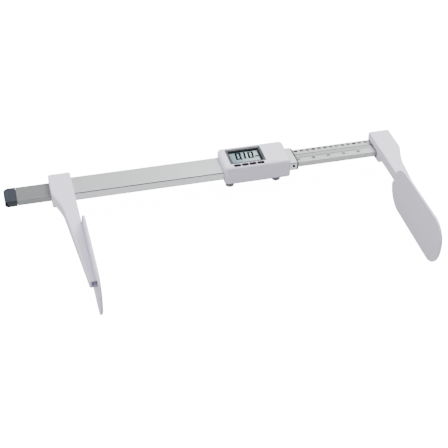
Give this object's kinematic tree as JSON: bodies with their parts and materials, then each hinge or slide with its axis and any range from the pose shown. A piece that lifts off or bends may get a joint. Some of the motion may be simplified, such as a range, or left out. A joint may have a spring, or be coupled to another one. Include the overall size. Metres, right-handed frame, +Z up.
{
  "type": "digital length measuring rod",
  "caption": "Telescopic measuring rod with a digital display, a printed centimetre and inch scale, and two arms whose flat paddles face each other across the measured length.",
  "frame": {"origin": "centre of the bounding box's underside", "axes": "+X along the rails towards the sliding arm, +Z up out of the display, and the arms reach towards -Y"},
  "size_m": [0.6302, 0.3146, 0.081],
  "materials": {
    "white_plastic": "fine-grained moulded ABS, satin",
    "anodised_rail": "brushed lengthwise and clear anodised",
    "dark_plastic": "moulded dark slate plastic",
    "grey_plastic": "moulded mid-grey base plate",
    "bezel_plastic": "satin grey plastic frame",
    "display_glass": "reflective liquid crystal panel, opaque grey-green",
    "button_plastic": "dark satin key tops",
    "foot_rubber": "matt dark rubber",
    "circuit_board": "green solder mask",
    "sensor_black": "moulded black housing",
    "silicone": "translucent grey silicone",
    "black_steel": "black oxide steel",
    "bright_steel": "bright plated steel",
    "encoder_tape": "laminated measuring strip, glossy"
  },
  "bodies": {
    "rod_base": {"outer_rail": "anodised_rail", "fixed_arm": "white_plastic", "fixed_blade": "white_plastic", "top_shell": "white_plastic", "bottom_cover": "grey_plastic", "end_bushing": "dark_plastic", "guide_bushing": "dark_plastic", "display_bezel": "bezel_plastic", "lcd_panel": "display_glass", "foot_1": "foot_rubber", "foot_2": "foot_rubber", "foot_3": "foot_rubber", "foot_4": "foot_rubber", "main_board": "circuit_board", "reader_head": "sensor_black", "key_mat": "silicone", "lcd_connector_1": "silicone", "lcd_connector_2": "silicone", "bushing_screw_1": "black_steel", "bushing_screw_2": "black_steel", "cell_contact_lower": "bright_steel", "cell_contact_end": "bright_steel", "drag_spring": "bright_steel", "housing_screw_1": "bright_steel", "housing_screw_2": "bright_steel", "housing_screw_3": "bright_steel", "housing_screw_4": "bright_steel", "fixed_arm_screw_1": "bright_steel", "fixed_arm_screw_2": "bright_steel", "fixed_blade_screw_1": "bright_steel", "fixed_blade_screw_2": "bright_steel"},
    "slider": {"inner_rail": "anodised_rail", "encoder_tape": "encoder_tape", "rail_end_cap": "dark_plastic", "sliding_arm": "white_plastic", "sliding_blade": "white_plastic", "sliding_arm_screw_1": "bright_steel", "sliding_arm_screw_2": "bright_steel", "sliding_blade_screw_1": "bright_steel", "sliding_blade_screw_2": "bright_steel"},
    "battery_drawer": {"battery_tray": "white_plastic", "coin_cell": "bright_steel"},
    "key_1": {"button_1": "button_plastic"},
    "key_2": {"button_2": "button_plastic"},
    "key_3": {"button_3": "button_plastic"},
    "key_4": {"button_4": "button_plastic"}
  },
  "joints": [
    {"name": "rail_slide", "type": "slide", "parent": "rod_base", "child": "slider", "axis": [1, 0, 0], "range_m": [-0.132, 0.305]},
    {"name": "drawer_slide", "type": "slide", "parent": "rod_base", "child": "battery_drawer", "axis": [0, 1, 0], "range_m": [0, 0.024]},
    {"name": "key_1_press", "type": "slide", "parent": "rod_base", "child": "key_1", "axis": [0, 0, -1], "range_m": [0, 0.0006], "stiffness_N_per_m": 2500},
    {"name": "key_2_press", "type": "slide", "parent": "rod_base", "child": "key_2", "axis": [0, 0, -1], "range_m": [0, 0.0006], "stiffness_N_per_m": 2500},
    {"name": "key_3_press", "type": "slide", "parent": "rod_base", "child": "key_3", "axis": [0, 0, -1], "range_m": [0, 0.0006], "stiffness_N_per_m": 2500},
    {"name": "key_4_press", "type": "slide", "parent": "rod_base", "child": "key_4", "axis": [0, 0, -1], "range_m": [0, 0.0006], "stiffness_N_per_m": 2500}
  ]
}
